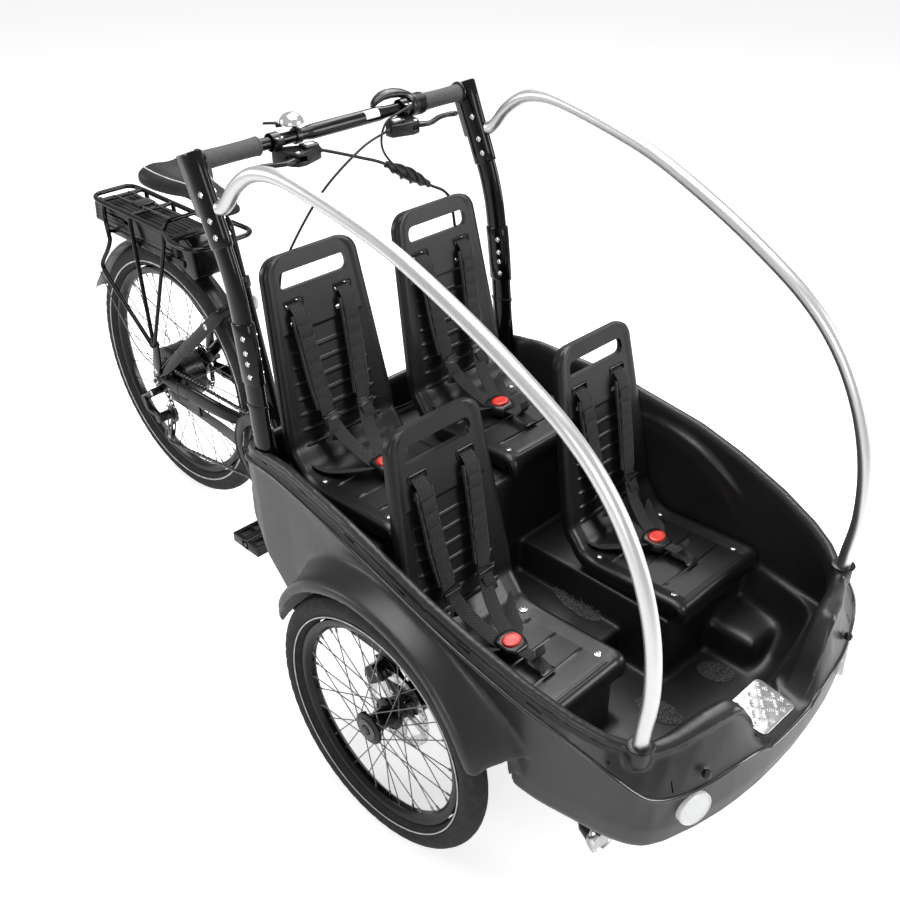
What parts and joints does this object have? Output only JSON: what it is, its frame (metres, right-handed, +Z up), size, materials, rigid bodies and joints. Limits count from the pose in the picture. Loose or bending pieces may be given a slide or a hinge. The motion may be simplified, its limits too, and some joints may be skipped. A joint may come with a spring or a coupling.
{
  "type": "cargo bike",
  "caption": "Front-box cargo trike: moulded tub with seats and harnesses on two wheels, steered by a bar on posts behind it, and a pedalled rear frame with hub motor, rack and battery.",
  "frame": {"origin": "on the ground, midway along the length and on the middle plane", "axes": "+X ahead, towards the box's nose; +Y to the rider's left; +Z up"},
  "size_m": [2.1413, 0.906, 1.1647],
  "materials": {
    "moulded_black": "rotationally moulded satin black plastic",
    "frame_black": "gloss black powder coat",
    "tyre": "matt rubber with a reflective line",
    "rim_black": "satin black rims and hubs",
    "steel": "bright steel",
    "aluminium": "brushed aluminium",
    "webbing": "black woven webbing",
    "red_button": "gloss red plastic",
    "grip": "soft black rubber",
    "reflector": "clear prismatic reflector",
    "saddle": "black cover with light piping"
  },
  "bodies": {
    "rear_frame": {"rear_frame": "frame_black", "rack": "frame_black", "chain": "steel", "chain_guard": "moulded_black", "derailleur": "frame_black", "mudguard": "moulded_black"},
    "carriage": {"tub": "moulded_black", "tread_plate": "aluminium", "front_reflector_right": "reflector", "front_reflector_left": "reflector", "headlight": "frame_black", "cable_bundle": "grip", "axle_frame": "frame_black", "front_caliper_right": "frame_black", "front_caliper_left": "frame_black", "post_base_right": "frame_black", "post_base_left": "frame_black", "post_right": "frame_black", "post_left": "frame_black", "hoop_right": "aluminium", "hoop_left": "aluminium", "handlebar": "frame_black", "grip_right": "grip", "grip_left": "grip", "lever_bracket_right": "moulded_black", "lever_bracket_left": "moulded_black", "bell": "steel", "seat_front_right": "moulded_black", "seat_front_left": "moulded_black", "seat_rear_right": "moulded_black", "seat_rear_left": "moulded_black", "harness_front_right": "webbing", "harness_front_left": "webbing", "harness_rear_right": "webbing", "harness_rear_left": "webbing"},
    "front_wheel_right": {"front_tyre_right": "tyre", "front_wheel_right": "rim_black", "front_disc_right": "steel"},
    "front_wheel_left": {"front_tyre_left": "tyre", "front_wheel_left": "rim_black", "front_disc_left": "steel"},
    "rear_wheel": {"rear_tyre": "tyre", "rear_wheel": "rim_black", "rear_disc": "steel"},
    "cassette": {"cassette": "steel"},
    "crank": {"crankset": "frame_black"},
    "pedal_right": {"pedal_right": "moulded_black"},
    "pedal_left": {"pedal_left": "moulded_black"},
    "derailleur_cage": {"derailleur_cage": "steel"},
    "battery": {"battery": "moulded_black"},
    "seat_post": {"seat_post": "frame_black", "saddle": "saddle"},
    "shifter": {"shifter": "moulded_black"},
    "bell_lever": {"bell_lever": "moulded_black"},
    "brake_lever_right": {"brake_lever_right": "moulded_black"},
    "brake_lever_left": {"brake_lever_left": "moulded_black"},
    "buckle_button_front_right": {"buckle_button_front_right": "red_button"},
    "buckle_button_front_left": {"buckle_button_front_left": "red_button"},
    "buckle_button_rear_right": {"buckle_button_rear_right": "red_button"},
    "buckle_button_rear_left": {"buckle_button_rear_left": "red_button"}
  },
  "joints": [
    {"name": "steering", "type": "hinge", "parent": "rear_frame", "child": "carriage", "pos_m": [0.2575, 0, 0.25], "axis": [0, 0, 1], "range_deg": [-30, 30]},
    {"name": "front_wheel_right_spin", "type": "hinge", "parent": "carriage", "child": "front_wheel_right", "pos_m": [0.5075, -0.406, 0.254], "axis": [0, 1, 0], "continuous": true},
    {"name": "front_wheel_left_spin", "type": "hinge", "parent": "carriage", "child": "front_wheel_left", "pos_m": [0.5075, 0.406, 0.254], "axis": [0, 1, 0], "continuous": true},
    {"name": "rear_wheel_spin", "type": "hinge", "parent": "rear_frame", "child": "rear_wheel", "pos_m": [-0.7125, 0, 0.337], "axis": [0, 1, 0], "continuous": true},
    {"name": "crank_spin", "type": "hinge", "parent": "rear_frame", "child": "crank", "pos_m": [-0.2875, 0, 0.29], "axis": [0, 1, 0], "continuous": true},
    {"name": "cassette_spin", "type": "hinge", "parent": "rear_frame", "child": "cassette", "pos_m": [-0.7125, -0.048, 0.337], "axis": [0, 1, 0], "continuous": true},
    {"name": "pedal_right_spin", "type": "hinge", "parent": "crank", "child": "pedal_right", "pos_m": [-0.21218, -0.141, 0.1376], "axis": [0, 1, 0], "continuous": true},
    {"name": "pedal_left_spin", "type": "hinge", "parent": "crank", "child": "pedal_left", "pos_m": [-0.36282, 0.141, 0.4424], "axis": [0, 1, 0], "continuous": true},
    {"name": "derailleur_swing", "type": "hinge", "parent": "rear_frame", "child": "derailleur_cage", "pos_m": [-0.7045, -0.07, 0.233], "axis": [0, 1, 0], "range_deg": [-25, 20], "stiffness_Nm_per_rad": 0.8, "deforming": ["chain"]},
    {"name": "battery_slide", "type": "slide", "parent": "rear_frame", "child": "battery", "axis": [-1, 0, 0], "range_m": [0, 0.3]},
    {"name": "saddle_height", "type": "slide", "parent": "rear_frame", "child": "seat_post", "axis": [-0.2503, 0, 0.9682], "range_m": [-0.035, 0.06]},
    {"name": "shifter_twist", "type": "hinge", "parent": "carriage", "child": "shifter", "pos_m": [-0.0095, 0.1855, 1.122], "axis": [0, 1, 0], "range_deg": [-20, 45]},
    {"name": "bell_strike", "type": "hinge", "parent": "carriage", "child": "bell_lever", "pos_m": [-0.0275, -0.134, 1.146], "axis": [0, 0, 1], "range_deg": [-18, 0], "stiffness_Nm_per_rad": 0.02},
    {"name": "brake_lever_right_pull", "type": "hinge", "parent": "carriage", "child": "brake_lever_right", "pos_m": [0.0405, -0.142, 1.1], "axis": [0, 0, -1], "range_deg": [0, 9], "stiffness_Nm_per_rad": 1.2},
    {"name": "brake_lever_left_pull", "type": "hinge", "parent": "carriage", "child": "brake_lever_left", "pos_m": [0.0405, 0.142, 1.1], "axis": [0, 0, 1], "range_deg": [0, 9], "stiffness_Nm_per_rad": 1.2},
    {"name": "buckle_button_front_right_press", "type": "slide", "parent": "carriage", "child": "buckle_button_front_right", "axis": [0, 0, -1], "range_m": [0, 0.003], "stiffness_N_per_m": 1500},
    {"name": "buckle_button_front_left_press", "type": "slide", "parent": "carriage", "child": "buckle_button_front_left", "axis": [0, 0, -1], "range_m": [0, 0.003], "stiffness_N_per_m": 1500},
    {"name": "buckle_button_rear_right_press", "type": "slide", "parent": "carriage", "child": "buckle_button_rear_right", "axis": [0, 0, -1], "range_m": [0, 0.003], "stiffness_N_per_m": 1500},
    {"name": "buckle_button_rear_left_press", "type": "slide", "parent": "carriage", "child": "buckle_button_rear_left", "axis": [0, 0, -1], "range_m": [0, 0.003], "stiffness_N_per_m": 1500}
  ],
  "couplings": [
    {"joint": "cassette_spin", "follows": "crank_spin", "ratio": 2.5882}
  ]
}
